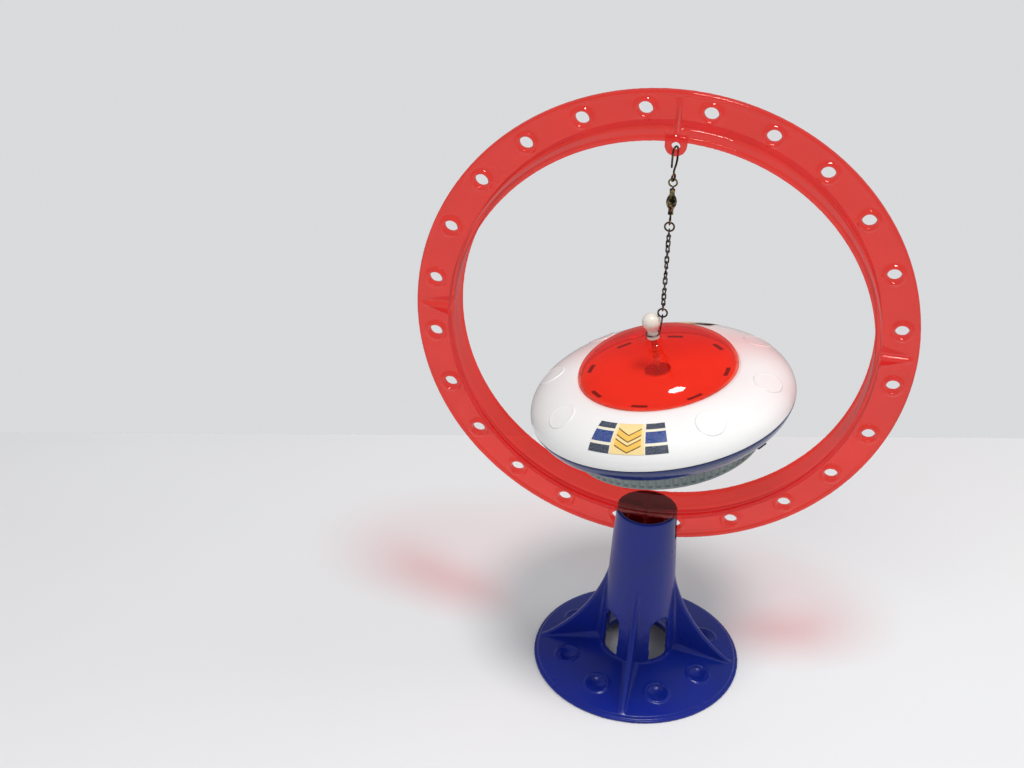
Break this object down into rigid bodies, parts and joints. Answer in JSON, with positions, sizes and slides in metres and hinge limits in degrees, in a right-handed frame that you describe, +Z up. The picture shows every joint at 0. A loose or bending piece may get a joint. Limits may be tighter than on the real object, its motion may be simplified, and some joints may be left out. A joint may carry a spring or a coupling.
{
  "type": "hanging gyroscope saucer toy",
  "caption": "Saucer-shaped gyroscope top with a domed lid, hung by a swivel and link chain inside an upright perforated ring that stands in a finned, flared pedestal",
  "frame": {"origin": "centre of the stand's foot, on the surface it rests on", "axes": "+Z up through the stand, the chain and the hanging tab; +Y is the ring's axis, with the toy's front facing -Y; +X to the right"},
  "size_m": [0.2, 0.1086, 0.2675],
  "materials": {
    "blue_plastic": "gloss",
    "red_clear_plastic": "gloss",
    "dome_red_plastic": "gloss",
    "white_plastic": "gloss",
    "ivory_plastic": "satin",
    "silver_plastic": "satin",
    "dark_plastic": "satin",
    "bronzed_wire": "satin",
    "bronzed_swivel": "satin",
    "chain_metal": "satin",
    "hanger_wire": "satin",
    "steel": "satin",
    "brass": "satin",
    "sticker": "satin"
  },
  "bodies": {
    "stand": {"stand": "blue_plastic"},
    "ring": {"ring": "red_clear_plastic"},
    "hook": {"suspension_hook": "bronzed_wire"},
    "upper_eye": {"swivel_upper_eye": "bronzed_swivel"},
    "barrel": {"swivel_barrel": "bronzed_swivel"},
    "lower_eye": {"swivel_lower_eye": "bronzed_swivel"},
    "upper_jump": {"upper_jump_ring": "bronzed_wire"},
    "chain_a": {"chain_upper": "chain_metal"},
    "chain_b": {"chain_middle": "chain_metal"},
    "chain_c": {"chain_lower": "chain_metal"},
    "lower_jump": {"lower_jump_ring": "bronzed_wire"},
    "hanger": {"knob_hanger": "hanger_wire"},
    "saucer": {"upper_shell": "white_plastic", "lower_shell": "blue_plastic", "dome": "dome_red_plastic", "knob": "ivory_plastic", "centre_post": "steel", "ribbed_skirt": "silver_plastic", "bottom_cover": "dark_plastic", "bottom_tip": "steel", "strip_guide": "dark_plastic", "front_decal": "sticker", "rear_decal": "sticker", "upper_bush": "brass", "lower_bush": "brass", "shell_screws": "steel", "cover_screws": "steel"},
    "wheel": {"flywheel_rim": "steel", "flywheel_web": "dark_plastic", "flywheel_axle": "steel", "drive_pinion": "dark_plastic", "axle_washers": "steel"}
  },
  "joints": [
    {"name": "ring_lift", "type": "slide", "parent": "stand", "child": "ring", "axis": [0, 0, 1], "range_m": [0, 0.04]},
    {"name": "hook_swing", "type": "hinge", "parent": "ring", "child": "hook", "pos_m": [0, 0, 0.2455], "axis": [0, 1, 0], "range_deg": [-11, 11]},
    {"name": "eye_swing", "type": "hinge", "parent": "hook", "child": "upper_eye", "pos_m": [0, 0, 0.23255], "axis": [1, 0, 0], "range_deg": [-40, 40]},
    {"name": "barrel_spin", "type": "hinge", "parent": "upper_eye", "child": "barrel", "pos_m": [0, 0, 0.22315], "axis": [0, 0, 1], "continuous": true},
    {"name": "lower_eye_spin", "type": "hinge", "parent": "barrel", "child": "lower_eye", "pos_m": [0, 0, 0.22315], "axis": [0, 0, 1], "continuous": true},
    {"name": "upper_jump_swing", "type": "hinge", "parent": "lower_eye", "child": "upper_jump", "pos_m": [0, 0, 0.21375], "axis": [0, -1, 0], "range_deg": [-15, 15]},
    {"name": "chain_upper_swing", "type": "hinge", "parent": "upper_jump", "child": "chain_a", "pos_m": [0, 0, 0.21091], "axis": [-1, 0, 0], "range_deg": [-30, 30]},
    {"name": "chain_middle_swing", "type": "hinge", "parent": "chain_a", "child": "chain_b", "pos_m": [0, 0, 0.19942], "axis": [0, 1, 0], "range_deg": [-15, 15]},
    {"name": "chain_lower_swing", "type": "hinge", "parent": "chain_b", "child": "chain_c", "pos_m": [0, 0, 0.18788], "axis": [1, 0, 0], "range_deg": [-30, 30]},
    {"name": "lower_jump_swing", "type": "hinge", "parent": "chain_c", "child": "lower_jump", "pos_m": [0, 0, 0.17634], "axis": [0, -1, 0], "range_deg": [-12, 12]},
    {"name": "hanger_swing", "type": "hinge", "parent": "lower_jump", "child": "hanger", "pos_m": [0, 0, 0.17345], "axis": [-1, 0, 0], "range_deg": [-25, 25]},
    {"name": "saucer_spin", "type": "hinge", "parent": "hanger", "child": "saucer", "pos_m": [-0.0032, 0, 0.16555], "axis": [-0.1908, 0, 0.9816], "continuous": true},
    {"name": "wheel_spin", "type": "hinge", "parent": "saucer", "child": "wheel", "pos_m": [0.0025, 0, 0.1362], "axis": [-0.1908, 0, 0.9816], "continuous": true}
  ]
}
